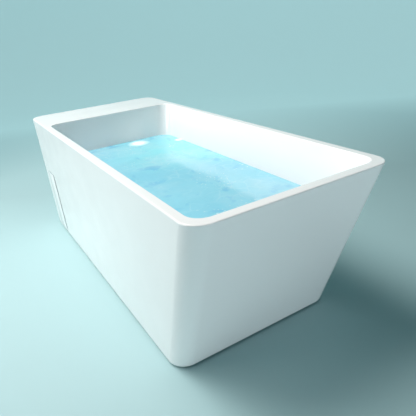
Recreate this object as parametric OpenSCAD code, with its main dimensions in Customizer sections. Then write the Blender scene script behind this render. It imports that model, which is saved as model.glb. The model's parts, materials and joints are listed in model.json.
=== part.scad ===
// Freestanding double-shell bathtub with a raked head end and a wide tap ledge at the upright end.
// X runs along the bath, from the raked head end (-X) to the tap end (+X). Y is across, and Z is up.
// The origin is on the floor, below the middle of the rim.

/* [Bath] */
// Length over the rim
bath_l = 1700; // [1680:10:1780]
// Width over the rim
bath_w = 700; // [690:10:740]
// Height of the rim above the floor
bath_h = 610; // [600:5:630]
// How far the raked end leans in at floor level
end_lean = 221; // [190:1:225]
// How far each long side leans in at floor level
side_lean = 19; // [12:1:20]
// Radius of the upright outer corners
corner_r = 63; // [55:1:75]
// Thickness of the two acrylic shells
shell_t = 5; // [4:0.5:5]
// Gap between the skirt and the floor
floor_gap = 6; // [5:1:7]

/* [Rim] */
// Width of the rim along the long sides
rim_side = 30.5; // [29:0.5:34]
// Width of the rim at the raked end
rim_head = 34.5; // [32:0.5:40]
// Depth of the tap ledge
ledge_w = 281; // [275:1:290]
// Thickness of the rim
rim_t = 6; // [6:0.5:8]
// Radius of the rim's outer top edge
rim_round = 5; // [3:0.5:5]

/* [Basin] */
// Height of the basin's floor above the ground
basin_floor = 110; // [110:1:114]
// Corner radius of the basin at the rim
mouth_r = 48; // [42:1:54]
// Corner radius of the basin's walls at floor level
foot_r = 110; // [100:1:120]
// Radius where the walls run into the floor
floor_round = 60; // [55:1:65]
// Lean of the side walls, inwards for each unit of depth
side_slope = 0.186; // [0.17:0.001:0.19]
// Lean of the wall below the tap ledge
tap_slope = 0.131; // [0.11:0.001:0.14]
// Lean of the backrest
back_slope = 0.424; // [0.4:0.001:0.43]

/* [Waste] */
// Place of the drain along the bath
drain_x = 380; // [370:1:385]
// Outer radius of the outlet pipe
pipe_r = 20; // [19:0.5:20]
// Depth of the overflow's centre below the rim
overflow_drop = 110; // [105:1:120]

/* [Service hatch] */
// Middle of the hatch along the bath
hatch_x = 680; // [676:1:684]
// Height of the hatch's middle
hatch_z = 183; // [183:1:190]
// Width of the opening in the skirt
hatch_w = 116; // [112:1:118]
// Height of the opening in the skirt
hatch_h = 314; // [300:1:314]
// How far the door stands proud of the skirt
door_proud = 2; // [1:0.5:2]

/* [Frame] */
// Side of the square steel tube
tube = 25; // [25:1:26]
// Wall of the square steel tube
tube_wall = 2; // [1.5:0.5:2]
// Distance of the rails from the middle
rail_y = 150; // [148:1:155]
// Distance of the feet from the middle
foot_y = 215; // [212:1:218]

/* [Hidden] */

$fn = 64;
corner_steps = 8;   // facets round each corner of the two moulded shells
bend_step = 15;     // degrees to a facet where the basin's wall runs into its floor
edge_step = 30;     // degrees to a facet round the rim's outer edge
cut = 2;            // how far a cutting body runs past what it cuts
run_fit = 0.05;     // radial clearance of a shaft in its hole
slip_fit = 0.1;     // radial clearance of a pipe in its socket
seat_gap = 0.3;     // gap between a moving piece and the stop it rests on

// Outer form, which has its full length and width where the rim's rounded edge begins
edge_z = bath_h - rim_round;
far_x = bath_l / 2;
function head_x(z) = -bath_l / 2 + end_lean * (1 - z / edge_z);
function half_w(z) = bath_w / 2 - side_lean * (1 - z / edge_z);
side_tilt = atan(side_lean / edge_z);
lip_w = 20;         // inward lip along the skirt's bottom edge
lip_t = 4;

// Basin
mouth_x0 = -bath_l / 2 + rim_head;
mouth_x1 = bath_l / 2 - ledge_w;
mouth_half_w = bath_w / 2 - rim_side;
basin_depth = bath_h - basin_floor;
wall_lean = atan(side_slope);

// Support frame, from the top down
board_t = 12;
board_top = basin_floor - shell_t;
board_x0 = -530;
board_x1 = 450;
board_half_w = 180;
rail_top = board_top - board_t;
rail_bottom = rail_top - tube;
bar_bottom = rail_bottom - tube;
rail_x0 = -560;
rail_x1 = 800;
bar_x = [-480, 150, 780];
bar_half_l = 255;
cap_t = 2;
board_screw_x = [-400, -160, 40, 280];
board_corner_r = 30;
board_hole_r = 42;  // room for the drain's nut and washer
pilot_r = 2.6;      // pilot hole of a board screw
screw_r = 2.5;
screw_head_r = 5;
screw_head_h = 3;
screw_depth = 7;    // how deep a board screw runs into the board
bolt_r = 3;
bolt_hex_r = 5.5;
bolt_head_h = 4;
bolt_tail = 8;      // how far a frame bolt runs on into the rail
stay_bolt_y = 243;
stay_t = 3;
stay_w = 30;

// Levelling feet
stud_r = 5;
stud_bottom = 4;
stud_top = 84;
hex_r = 9.8;        // across the corners
hex_h = 8;
pad_steps = [[25, 6], [17, 9], [10, 15]];   // radius and height of each step of a pad
foot_places = [for (x = bar_x, side = [1, -1]) [x, side * foot_y]];

// Drain and plug
drain_hole_r = 25.5;
flange_r = 35;
flange_tube_r = 24;
flange_bore_r = 20;
gasket_t = 1.5;
flange_t = 2.5;
flange_top = basin_floor + gasket_t + flange_t;
flange_bottom = 62;
cartridge_r = 9;
cartridge_bottom = 68;
cartridge_top = 98;
stem_r = 5;
stem_bottom = 84;
seal_t = 1.7;
cap_bottom = flange_top + seat_gap + seal_t;
cap_r = 30;
drain_nut_r = 38;
drain_nut_h = 8;
washer_t = 3;
spider_h = 6;       // arms that hold the cartridge in the flange's tube
spider_t = 3;

// Waste pipework
waste_z = 45;       // centre line of the pipe from the drain to the trap
elbow_r = 29;
elbow_top = 88;
elbow_end = 452;    // mouth of the elbow's socket
elbow_seat = 425;   // bottom of the elbow's socket
tee_x0 = 427;
tee_x1 = 588;
trap_in = 570;      // mouth of the trap's inlet socket
trap_in_seat = 590;
trap_out = 706;     // mouth of the trap's outlet socket
trap_out_seat = 689;
outlet_x0 = 691;
nut_r = 29;         // slip nuts over the sockets
nut_h = 13;
nut_ribs = 16;
pipe_wall = 2;
socket_r = 25;
tee_x = 490;
branch_end = 62;    // end of the tee's branch for the hose
trap_x = 640;
trap_r = 44;
trap_wall = 4;
trap_bottom = 12;
trap_top = 96;
lid_seal_t = 2;
outlet_z = 68;
outlet_x = 735;
outlet_bottom = 15;
outlet_spigot_l = 20;   // length that stands in the floor's socket, up to a collar
hose_r = 11;
hose_wall = 1.5;
spigot_r = 11;
spigot_bore_r = 8;
hose_steps = 4;     // stretches to each leg of the hose's route
hose_sides = 12;

// Overflow, on the left wall beside the drain
overflow_hole_r = 26;
overflow_seal_r = 34;
overflow_z = bath_h - overflow_drop;
overflow_y = mouth_half_w - side_slope * overflow_drop;
overflow_spigot_z = -21;    // below the wall's face, along the overflow's own axis
overflow_spigot_end = -55;  // down the wall

// Service hatch, in the plane of the skirt's left side
door_t = 4;
door_gap_side = 3.5;
door_gap_end = 1.5;
door_half_w = hatch_w / 2 - door_gap_side;
door_half_h = hatch_h / 2 - door_gap_end;
door_back = door_proud - door_t;
pivot_u = door_half_w - 16;
pivot_v = -8;
pivot_pin_r = 2.5;
ear_r = 5;
ear_low = 140;
ear_high = 152;
lug_low = 159;
lug_high = 169;
frame_face = -shell_t - 0.02;
frame_back = -8;
frame_border = 14;
hatch_corner_r = 8;
frame_corner_r = 12;
catch_w = 10;       // magnet and strike plate of the door's catch
catch_h = 30;
strike_t = 1.3;

// Colours
acrylic = "white";
steel = "lightsteelblue";
zinc = "silver";
chrome = "gainsboro";
black_rubber = "dimgray";
pipe_white = "whitesmoke";

// ---------- shared shapes ----------

// Points round a rounded rectangle at height z, anticlockwise from above.
function rounded_ring(x0, x1, half_width, r, z) = [
    for (corner = [0 : 3], k = [0 : corner_steps])
        let (
            a = 90 * (corner + k / corner_steps),
            cx = corner == 0 || corner == 3 ? x1 - r : x0 + r,
            cy = (corner < 2 ? 1 : -1) * (half_width - r)
        )
            [cx + r * cos(a), cy + r * sin(a), z]
];

// The bath's outer form at height z, moved outwards by grow.
function outer_ring(z, grow = 0) =
    rounded_ring(head_x(z) - grow, far_x + grow, half_w(z) + grow, corner_r + grow, z);

// The basin's hollow at height z, drawn in by inset.
function basin_ring(z, inset) =
    let (depth = bath_h - z)
        rounded_ring(
            mouth_x0 + back_slope * depth + inset,
            mouth_x1 - tap_slope * depth - inset,
            mouth_half_w - side_slope * depth - inset,
            mouth_r + (foot_r - mouth_r) * depth / basin_depth - inset,
            z
        );

// The bend from the basin's wall into its floor, at angle a from the wall. grow is 0 on the inside.
function bend_ring(a, grow) =
    let (bend = floor_round + grow)
        basin_ring(basin_floor - grow + bend * (1 - sin(a)), bend * (1 - cos(a)) - grow);

// A solid skinned over a row of rings. Its inside goes up first, then its outside down.
// A capped one is closed at its first and last ring, and an open one joins its last ring to its first.
module loft(rings, capped) {
    n = len(rings[0]);
    spans = capped ? len(rings) - 1 : len(rings);
    polyhedron(
        points = [for (r = rings) each r],
        faces = [
            if (capped) [for (k = [n - 1 : -1 : 0]) k],
            for (i = [0 : spans - 1], k = [0 : n - 1])
                let (j = (i + 1) % len(rings), m = (k + 1) % n)
                    [i * n + k, i * n + m, j * n + m, j * n + k],
            if (capped) [for (k = [0 : n - 1]) (len(rings) - 1) * n + k]
        ],
        convexity = 8
    );
}

module ring(r_out, r_in, h) {
    difference() {
        cylinder(r = r_out, h = h);
        translate([0, 0, -cut])
            cylinder(r = r_in, h = h + 2 * cut);
    }
}

// A cylinder along +X from x0 to x1.
module rod_x(r, x0, x1) {
    translate([x0, 0, 0])
        rotate([0, 90, 0])
            cylinder(r = r, h = x1 - x0);
}

// A round nut with grip ribs, its axis along Z.
module grip_nut(r_out, r_in, h, ribs = 12) {
    difference() {
        union() {
            cylinder(r = r_out, h = h);
            for (i = [0 : ribs - 1])
                rotate(i * 360 / ribs)
                    translate([r_out - 1, -1.5, 0])
                        cube([2.2, 3, h]);
        }
        translate([0, 0, -cut])
            cylinder(r = r_in, h = h + 2 * cut);
    }
}

module square_tube(length) {
    difference() {
        cube([length, tube, tube]);
        translate([-cut, tube_wall, tube_wall])
            cube([length + 2 * cut, tube - 2 * tube_wall, tube - 2 * tube_wall]);
    }
}

module rounded_rect(w, h, r) {
    square([w - 2 * r, h], center = true);
    square([w, h - 2 * r], center = true);
    for (x = [-1, 1], y = [-1, 1])
        translate([x * (w / 2 - r), y * (h / 2 - r)])
            circle(r = r);
}

// ---------- swept shapes ----------

function unit(v) = v / norm(v);
function along(path, i) = unit(path[min(i + 1, len(path) - 1)] - path[max(i - 1, 0)]);

// Smooth points through a route, steps to each stretch.
function spline_point(a, b, c, d, t) =
    0.5 * (2 * b + (c - a) * t + (2 * a - 5 * b + 4 * c - d) * t * t + (3 * b - a - 3 * c + d) * t * t * t);
function spline(route, steps) = [
    for (i = [1 : len(route) - 3], s = [0 : steps - 1])
        spline_point(route[i - 1], route[i], route[i + 1], route[i + 2], s / steps),
    route[len(route) - 2]
];

// One ring of points round the path, across the direction dir. side is never along dir.
function ring_points(centre, dir, side, r, sides) =
    let (n = unit(cross(dir, side)), m = cross(dir, n))
        [for (k = [0 : sides - 1]) centre + r * (cos(360 * k / sides) * n + sin(360 * k / sides) * m)];

// A solid rod swept along a path.
module swept_rod(path, r, side, sides) {
    rings = len(path);
    polyhedron(
        points = [for (i = [0 : rings - 1]) each ring_points(path[i], along(path, i), side, r, sides)],
        faces = [
            [for (k = [0 : sides - 1]) k],
            for (i = [0 : rings - 2], k = [0 : sides - 1])
                [i * sides + k, (i + 1) * sides + k, (i + 1) * sides + (k + 1) % sides, i * sides + (k + 1) % sides],
            [for (k = [sides - 1 : -1 : 0]) (rings - 1) * sides + k]
        ],
        convexity = 6
    );
}

// An open-ended tube swept along a path.
module swept_tube(path, r_out, r_in, side, sides) {
    rings = len(path);
    inner = rings * sides;
    last = (rings - 1) * sides;
    polyhedron(
        points = [
            for (i = [0 : rings - 1]) each ring_points(path[i], along(path, i), side, r_out, sides),
            for (i = [0 : rings - 1]) each ring_points(path[i], along(path, i), side, r_in, sides)
        ],
        faces = [
            for (i = [0 : rings - 2], k = [0 : sides - 1])
                [i * sides + k, (i + 1) * sides + k, (i + 1) * sides + (k + 1) % sides, i * sides + (k + 1) % sides],
            for (i = [0 : rings - 2], k = [0 : sides - 1])
                [inner + i * sides + (k + 1) % sides, inner + (i + 1) * sides + (k + 1) % sides,
                    inner + (i + 1) * sides + k, inner + i * sides + k],
            for (k = [0 : sides - 1]) [k, (k + 1) % sides, inner + (k + 1) % sides, inner + k],
            for (k = [0 : sides - 1])
                [last + (k + 1) % sides, last + k, inner + last + k, inner + last + (k + 1) % sides]
        ],
        convexity = 6
    );
}

// ---------- places ----------

// Local frame of the overflow: +Z out of the wall into the basin, +Y up the wall.
module at_overflow() {
    translate([drain_x, overflow_y, overflow_z])
        rotate([90 - wall_lean, 0, 0])
            children();
}

// Local frame of the hatch: X along the bath, Y outwards, Z up the skirt's side.
module at_hatch() {
    translate([hatch_x, half_w(hatch_z), hatch_z])
        rotate([-side_tilt, 0, 0])
            children();
}

// A rounded plate in the hatch's frame, from depth v0 out to v1.
module hatch_plate(w, h, r, v0, v1) {
    translate([0, v1, 0])
        rotate([90, 0, 0])
            linear_extrude(v1 - v0)
                rounded_rect(w, h, r);
}

// ---------- shells ----------

// Inner shell: bowl, rim and tap ledge in one moulding.
module basin() {
    under_rim = bath_h - rim_t;
    rings = [
        for (a = [90 : -bend_step : 0]) bend_ring(a, 0),
        basin_ring(bath_h, 0),
        for (a = [90 : -edge_step : 0])
            outer_ring(bath_h - rim_round * (1 - sin(a)), -rim_round * (1 - cos(a))),
        outer_ring(under_rim),
        basin_ring(under_rim, -shell_t),
        for (a = [0 : bend_step : 90]) bend_ring(a, shell_t)
    ];
    color(acrylic)
        difference() {
            loft(rings, true);
            translate([drain_x, 0, basin_floor - shell_t - cut])
                cylinder(r = drain_hole_r, h = shell_t + 2 * cut);
            at_overflow()
                translate([0, 0, -shell_t - cut])
                    cylinder(r = overflow_hole_r, h = shell_t + 2 * cut);
        }
}

// Outer shell, with an inward lip round its foot and the opening for the hatch.
module outer_skirt() {
    lip_top = floor_gap + lip_t;
    rings = [
        outer_ring(floor_gap, -shell_t - lip_w),
        outer_ring(lip_top, -shell_t - lip_w),
        outer_ring(lip_top, -shell_t),
        outer_ring(bath_h - rim_t, -shell_t),
        outer_ring(bath_h - rim_t),
        outer_ring(floor_gap)
    ];
    color(acrylic)
        difference() {
            loft(rings, false);
            at_hatch()
                hatch_plate(hatch_w, hatch_h, hatch_corner_r, -shell_t - cut, cut);
        }
}

// Stiff board bonded under the basin's floor.
module base_board() {
    color("burlywood")
        difference() {
            translate([(board_x0 + board_x1) / 2, 0, rail_top])
                linear_extrude(board_t)
                    rounded_rect(board_x1 - board_x0, 2 * board_half_w, board_corner_r);
            translate([drain_x, 0, rail_top - cut])
                cylinder(r = board_hole_r, h = board_t + 2 * cut);
            for (x = board_screw_x, side = [-1, 1])
                translate([x, side * rail_y, rail_top - cut])
                    cylinder(r = pilot_r, h = screw_depth + 1 + cut);
        }
}

// ---------- support frame ----------

module rail(side) {
    color(steel)
        difference() {
            translate([rail_x0, side * rail_y - tube / 2, rail_bottom])
                square_tube(rail_x1 - rail_x0);
            for (x = board_screw_x)
                translate([x, side * rail_y, rail_bottom - cut])
                    cylinder(r = pilot_r, h = tube + 2 * cut);
            for (x = bar_x)
                translate([x, side * rail_y, rail_bottom - cut])
                    cylinder(r = bolt_r + slip_fit, h = tube_wall + 2 * cut);
        }
}

// A crossbar, with a nut welded over each foot's hole.
module crossbar(x) {
    color(steel)
        difference() {
            union() {
                translate([x + tube / 2, -bar_half_l, bar_bottom])
                    rotate(90)
                        square_tube(2 * bar_half_l);
                for (side = [-1, 1])
                    translate([x, side * foot_y, rail_bottom])
                        cylinder(r = hex_r, h = hex_h, $fn = 6);
            }
            for (side = [-1, 1]) {
                translate([x, side * foot_y, bar_bottom - cut])
                    cylinder(r = stud_r + run_fit, h = tube + hex_h + 2 * cut);
                translate([x, side * rail_y, bar_bottom - cut])
                    cylinder(r = bolt_r + slip_fit, h = tube + 2 * cut);
                translate([x, side * stay_bolt_y, rail_bottom - tube_wall - cut])
                    cylinder(r = bolt_r + slip_fit, h = tube_wall + 2 * cut);
            }
        }
}

// A plastic cap in the end of a tube that opens towards +X.
module end_cap() {
    plug = tube - 2 * tube_wall - 2 * slip_fit;
    plug_l = 8;
    translate([0, -tube / 2, -tube / 2])
        cube([cap_t, tube, tube]);
    translate([-plug_l, -plug / 2, -plug / 2])
        cube([plug_l + cap_t / 2, plug, plug]);
}

module tube_end_caps() {
    color(black_rubber) {
        for (side = [-1, 1], far = [0, 1])
            translate([far == 1 ? rail_x1 : rail_x0, side * rail_y, rail_bottom + tube / 2])
                rotate(far == 1 ? 0 : 180)
                    end_cap();
        for (x = bar_x, side = [-1, 1])
            translate([x, side * bar_half_l, bar_bottom + tube / 2])
                rotate(side * 90)
                    end_cap();
    }
}

// Screws up through the rails into the board.
module board_screws() {
    color(zinc)
        for (x = board_screw_x, side = [-1, 1])
            translate([x, side * rail_y, rail_bottom - screw_head_h]) {
                cylinder(r = screw_head_r, h = screw_head_h);
                cylinder(r = screw_r, h = screw_head_h + tube + screw_depth);
            }
}

// Bolts up through the crossbars into the rails, and bolts down through the stays into the crossbars.
module frame_bolts() {
    shank = 10;
    color(zinc)
        for (x = bar_x, side = [-1, 1]) {
            translate([x, side * rail_y, bar_bottom - bolt_head_h]) {
                cylinder(r = bolt_hex_r, h = bolt_head_h, $fn = 6);
                cylinder(r = bolt_r, h = bolt_head_h + tube + bolt_tail);
            }
            translate([x, side * stay_bolt_y, rail_bottom - shank]) {
                cylinder(r = bolt_r, h = shank + stay_t + bolt_head_h);
                translate([0, 0, shank + stay_t])
                    cylinder(r = bolt_hex_r, h = bolt_head_h, $fn = 6);
            }
        }
}

// One angle from the crossbar's end to the skirt: a flat strap and an upright that is bonded to the skirt.
module stay() {
    strap_start = 231;
    upright_h = 42;
    bond_gap = 1;
    reach = half_w(rail_bottom) - shell_t - bond_gap;
    difference() {
        union() {
            translate([-stay_w / 2, strap_start, rail_bottom])
                cube([stay_w, reach - strap_start - stay_t / 2, stay_t]);
            translate([-stay_w / 2, reach, rail_bottom])
                rotate([-side_tilt, 0, 0])
                    translate([0, -stay_t, 0])
                        cube([stay_w, stay_t, upright_h]);
        }
        translate([0, stay_bolt_y, rail_bottom - cut])
            cylinder(r = bolt_r + slip_fit, h = stay_t + 2 * cut);
    }
}

module skirt_stays() {
    color(zinc)
        for (x = bar_x) {
            translate([x, 0, 0])
                stay();
            translate([x, 0, 0])
                mirror([0, 1, 0])
                    stay();
        }
}

// ---------- levelling feet ----------

module foot_stud(i) {
    color(zinc)
        translate([foot_places[i - 1].x, foot_places[i - 1].y, stud_bottom])
            cylinder(r = stud_r, h = stud_top - stud_bottom);
}

module foot_pad(i) {
    color(black_rubber)
        translate([foot_places[i - 1].x, foot_places[i - 1].y, 0])
            difference() {
                for (step = pad_steps)
                    cylinder(r = step[0], h = step[1]);
                translate([0, 0, stud_bottom])
                    cylinder(r = stud_r + run_fit, h = stud_top);
            }
}

module foot_lock_nuts() {
    color(zinc)
        for (place = foot_places)
            translate([place.x, place.y, bar_bottom - hex_h - slip_fit])
                difference() {
                    cylinder(r = hex_r, h = hex_h, $fn = 6);
                    translate([0, 0, -cut])
                        cylinder(r = stud_r + run_fit, h = hex_h + 2 * cut);
                }
}

// ---------- drain and plug ----------

// Flange and threaded tube, with a spider that holds the plug's cartridge.
module drain_flange() {
    color(chrome)
        translate([drain_x, 0, 0])
            difference() {
                union() {
                    translate([0, 0, flange_top - flange_t])
                        cylinder(r = flange_r, h = flange_t);
                    translate([0, 0, flange_bottom])
                        ring(flange_tube_r, flange_bore_r, flange_top - flange_bottom);
                    translate([0, 0, stem_bottom])
                        cylinder(r = cartridge_r + spider_t, h = spider_h);
                    for (a = [0 : 90 : 270])
                        rotate(a)
                            translate([cartridge_r + 1, -spider_t / 2, stem_bottom])
                                cube([flange_bore_r - cartridge_r, spider_t, spider_h]);
                }
                translate([0, 0, flange_bottom - cut])
                    cylinder(r = cartridge_r + run_fit, h = flange_top - flange_bottom + 2 * cut);
                translate([0, 0, stem_bottom + spider_h])
                    cylinder(r = flange_bore_r, h = flange_top);
            }
}

module drain_gasket() {
    color(black_rubber)
        translate([drain_x, 0, basin_floor])
            ring(flange_r - 2, drain_hole_r, gasket_t);
}

module drain_washer() {
    color(black_rubber)
        translate([drain_x, 0, board_top - washer_t])
            ring(drain_nut_r, flange_tube_r + slip_fit, washer_t);
}

module drain_nut() {
    color("gold")
        translate([drain_x, 0, board_top - washer_t - drain_nut_h])
            difference() {
                cylinder(r = drain_nut_r, h = drain_nut_h, $fn = 8);
                translate([0, 0, -cut])
                    cylinder(r = flange_tube_r + run_fit, h = drain_nut_h + 2 * cut);
            }
}

// Low domed cap.
module plug_cap() {
    dome_h = 4;
    edge_h = 1.8;
    color(chrome)
        translate([drain_x, 0, cap_bottom])
            rotate_extrude()
                polygon([
                    [0, 0], [cap_r - 1, 0], [cap_r, 1], [cap_r, edge_h],
                    for (a = [10 : 10 : 90]) [cap_r * cos(a), edge_h + (dome_h - edge_h) * sin(a)]
                ]);
}

module plug_seal() {
    color(black_rubber)
        translate([drain_x, 0, cap_bottom - seal_t])
            ring(26, 21, seal_t);
}

module plug_stem() {
    color(chrome)
        translate([drain_x, 0, stem_bottom])
            cylinder(r = stem_r, h = cap_bottom - stem_bottom);
}

// Guide for the stem, closed below, which houses the spring.
module plug_cartridge() {
    color(pipe_white)
        translate([drain_x, 0, cartridge_bottom])
            difference() {
                cylinder(r = cartridge_r, h = cartridge_top - cartridge_bottom);
                translate([0, 0, cap_t])
                    cylinder(r = stem_r + run_fit, h = cartridge_top);
            }
}

// Compression spring under the stem.
module plug_spring() {
    coil_r = 3.6;
    wire_r = 0.6;
    turns = 5;
    steps = 16;
    low = cartridge_bottom + cap_t + wire_r + 0.1;
    rise = stem_bottom - wire_r - 0.1 - low;
    path = [
        for (i = [0 : turns * steps])
            [coil_r * cos(360 * i / steps), coil_r * sin(360 * i / steps), rise * i / (turns * steps)]
    ];
    color(zinc)
        translate([drain_x, 0, low])
            swept_rod(path, wire_r, [0, 0, 1], 8);
}

// ---------- waste pipework ----------

module waste_elbow() {
    color(pipe_white)
        difference() {
            union() {
                translate([drain_x, 0, waste_z])
                    cylinder(r = elbow_r, h = elbow_top - waste_z);
                translate([drain_x, 0, waste_z])
                    sphere(r = elbow_r);
                translate([0, 0, waste_z])
                    rod_x(socket_r, drain_x, elbow_end);
            }
            translate([drain_x, 0, flange_bottom])
                cylinder(r = flange_tube_r + slip_fit, h = elbow_top);
            translate([drain_x, 0, waste_z])
                cylinder(r = pipe_r - pipe_wall, h = elbow_top);
            translate([drain_x, 0, waste_z])
                sphere(r = pipe_r - pipe_wall);
            translate([0, 0, waste_z]) {
                rod_x(pipe_r - pipe_wall, drain_x, elbow_end + cut);
                rod_x(pipe_r + slip_fit, elbow_seat, elbow_end + cut);
            }
        }
}

module waste_tee() {
    body_start = 453;
    body_end = 545;
    color(pipe_white)
        translate([0, 0, waste_z])
            difference() {
                union() {
                    rod_x(pipe_r, tee_x0, tee_x1);
                    rod_x(pipe_r + pipe_wall, body_start, body_end);
                    translate([tee_x, 0, 0])
                        rotate([-90, 0, 0])
                            cylinder(r = spigot_r, h = branch_end);
                }
                rod_x(pipe_r - pipe_wall, tee_x0 - cut, tee_x1 + cut);
                translate([tee_x, 0, 0])
                    rotate([-90, 0, 0])
                        cylinder(r = spigot_bore_r, h = branch_end + cut);
            }
}

module trap_body() {
    color(pipe_white)
        difference() {
            union() {
                translate([trap_x, 0, trap_bottom])
                    cylinder(r = trap_r, h = trap_top - trap_bottom);
                translate([0, 0, waste_z])
                    rod_x(socket_r, trap_in, trap_x);
                translate([0, 0, outlet_z])
                    rod_x(socket_r, trap_x, trap_out);
            }
            translate([trap_x, 0, trap_bottom + trap_wall])
                cylinder(r = trap_r - trap_wall, h = trap_top);
            translate([0, 0, waste_z]) {
                rod_x(pipe_r - pipe_wall, trap_in - cut, trap_x);
                rod_x(pipe_r + slip_fit, trap_in - cut, trap_in_seat);
            }
            translate([0, 0, outlet_z]) {
                rod_x(pipe_r - pipe_wall, trap_x, trap_out + cut);
                rod_x(pipe_r + slip_fit, trap_out_seat, trap_out + cut);
            }
        }
}

// Lift-out bell that makes the water seal.
module trap_insert() {
    bell_r = 27;
    bell_wall = 2.5;
    bell_bottom = 30;
    collar_z = 84;
    collar_t = 2;
    color("lightgray")
        translate([trap_x, 0, 0]) {
            translate([0, 0, bell_bottom])
                ring(bell_r, bell_r - bell_wall, collar_z + collar_t - bell_bottom);
            translate([0, 0, collar_z])
                ring(trap_r - trap_wall - 0.5, bell_r - bell_wall, collar_t);
        }
}

module trap_lid() {
    plug_h = 8;
    disc_h = 8;
    grip_l = 60;
    grip_t = 6;
    color("lightgray")
        translate([trap_x, 0, 0]) {
            translate([0, 0, trap_top - plug_h])
                cylinder(r = trap_r - trap_wall - run_fit, h = plug_h + disc_h / 2);
            translate([0, 0, trap_top + lid_seal_t])
                grip_nut(trap_r, 1, disc_h, nut_ribs);
            translate([-grip_t / 2, -grip_l / 2, trap_top + disc_h + 1])
                cube([grip_t, grip_l, disc_h]);
        }
}

module trap_lid_seal() {
    color(black_rubber)
        translate([trap_x, 0, trap_top])
            ring(trap_r, trap_r - trap_wall + 2 * slip_fit, lid_seal_t);
}

// Bend from the trap down to the floor's waste connection, with a collar above its spigot.
module outlet_pipe() {
    collar_t = 4;
    color(pipe_white)
        difference() {
            union() {
                translate([0, 0, outlet_z])
                    rod_x(pipe_r, outlet_x0, outlet_x);
                translate([outlet_x, 0, outlet_z])
                    sphere(r = pipe_r);
                translate([outlet_x, 0, outlet_bottom])
                    cylinder(r = pipe_r, h = outlet_z - outlet_bottom);
                translate([outlet_x, 0, outlet_bottom + outlet_spigot_l + seat_gap])
                    cylinder(r = pipe_r + collar_t, h = collar_t);
            }
            translate([0, 0, outlet_z])
                rod_x(pipe_r - pipe_wall, outlet_x0 - cut, outlet_x);
            translate([outlet_x, 0, outlet_z])
                sphere(r = pipe_r - pipe_wall);
            translate([outlet_x, 0, outlet_bottom - cut])
                cylinder(r = pipe_r - pipe_wall, h = outlet_z - outlet_bottom + cut);
        }
}

module slip_nuts() {
    nut_places = [[438, waste_z], [571, waste_z], [outlet_x0, outlet_z]];
    elbow_nut_z = 74;
    color("lightgray") {
        translate([drain_x, 0, elbow_nut_z])
            grip_nut(elbow_r + 4, elbow_r + slip_fit, nut_h, nut_ribs);
        for (place = nut_places)
            translate([place[0], 0, place[1]])
                rotate([0, 90, 0])
                    grip_nut(nut_r, socket_r + slip_fit, nut_h, nut_ribs);
    }
}

// ---------- overflow ----------

module overflow_cover() {
    cover_r = 36;
    base_t = 5;
    step_w = 2;
    step_t = 2.5;
    slot_l = 32;
    slot_w = 3;
    color(chrome)
        at_overflow()
            difference() {
                union() {
                    translate([0, 0, gasket_t])
                        cylinder(r = cover_r, h = base_t);
                    translate([0, 0, gasket_t + base_t])
                        cylinder(r = cover_r - step_w, h = step_t);
                }
                cylinder(r = bolt_r + run_fit, h = 2 * base_t + step_t);
                for (y = [-24, -18, -12])
                    translate([-slot_l / 2, y - slot_w / 2, -cut])
                        cube([slot_l, slot_w, 2 * base_t + step_t]);
            }
}

module overflow_screw() {
    screw_in = 18;
    cover_top = 9;
    color(chrome)
        at_overflow() {
            translate([0, 0, -screw_in])
                cylinder(r = bolt_r, h = screw_in + cover_top + 0.5);
            translate([0, 0, cover_top])
                cylinder(r = 2 * bolt_r, h = 2.5);
        }
}

module overflow_front_seal() {
    color(black_rubber)
        at_overflow()
            ring(overflow_seal_r, overflow_hole_r, gasket_t);
}

module overflow_rear_seal() {
    color(black_rubber)
        at_overflow()
            translate([0, 0, -shell_t - gasket_t])
                ring(overflow_seal_r, overflow_hole_r, gasket_t);
}

// Cup behind the wall, with a spigot down the wall for the hose.
module overflow_body() {
    cup_r = 28;
    cup_wall = 2.5;
    cup_back = -32;
    boss_r = 6;
    flange_h = 3;
    spigot_start = -22;
    front = -shell_t - gasket_t;
    color(pipe_white)
        at_overflow()
            difference() {
                union() {
                    difference() {
                        union() {
                            translate([0, 0, cup_back])
                                cylinder(r = cup_r, h = front - cup_back);
                            translate([0, 0, front - flange_h])
                                cylinder(r = overflow_seal_r, h = flange_h);
                            translate([0, spigot_start, overflow_spigot_z])
                                rotate([90, 0, 0])
                                    cylinder(r = spigot_r, h = spigot_start - overflow_spigot_end);
                        }
                        translate([0, 0, cup_back + cup_wall])
                            cylinder(r = cup_r - cup_wall, h = front - cup_back);
                        translate([0, spigot_start + cut, overflow_spigot_z])
                            rotate([90, 0, 0])
                                cylinder(r = spigot_bore_r, h = spigot_start - overflow_spigot_end + 2 * cut);
                    }
                    translate([0, 0, cup_back + 1])
                        cylinder(r = boss_r, h = -cup_back - 13);
                }
                translate([0, 0, cup_back + 8])
                    cylinder(r = bolt_r + run_fit, h = 30);
            }
}

// The hose's route from the overflow down the wall and under the bath to the tee.
function overflow_point(y, z) = [
    drain_x,
    overflow_y + y * sin(wall_lean) - z * cos(wall_lean),
    overflow_z + y * cos(wall_lean) + z * sin(wall_lean)
];
hose_route = [
    overflow_point(overflow_spigot_end + 30, overflow_spigot_z),
    overflow_point(overflow_spigot_end - seat_gap, overflow_spigot_z),
    overflow_point(overflow_spigot_end - 25, overflow_spigot_z),
    [388, 298, 360], [405, 292, 290], [430, 286, 210], [458, 272, 130],
    [478, 236, 74], [487, 180, 48],
    for (y = [120, 84, branch_end + seat_gap, 40]) [tee_x, y, waste_z]
];

module overflow_hose() {
    color("gray")
        swept_tube(spline(hose_route, hose_steps), hose_r, hose_r - hose_wall, [1, 0, 0], hose_sides);
}

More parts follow.
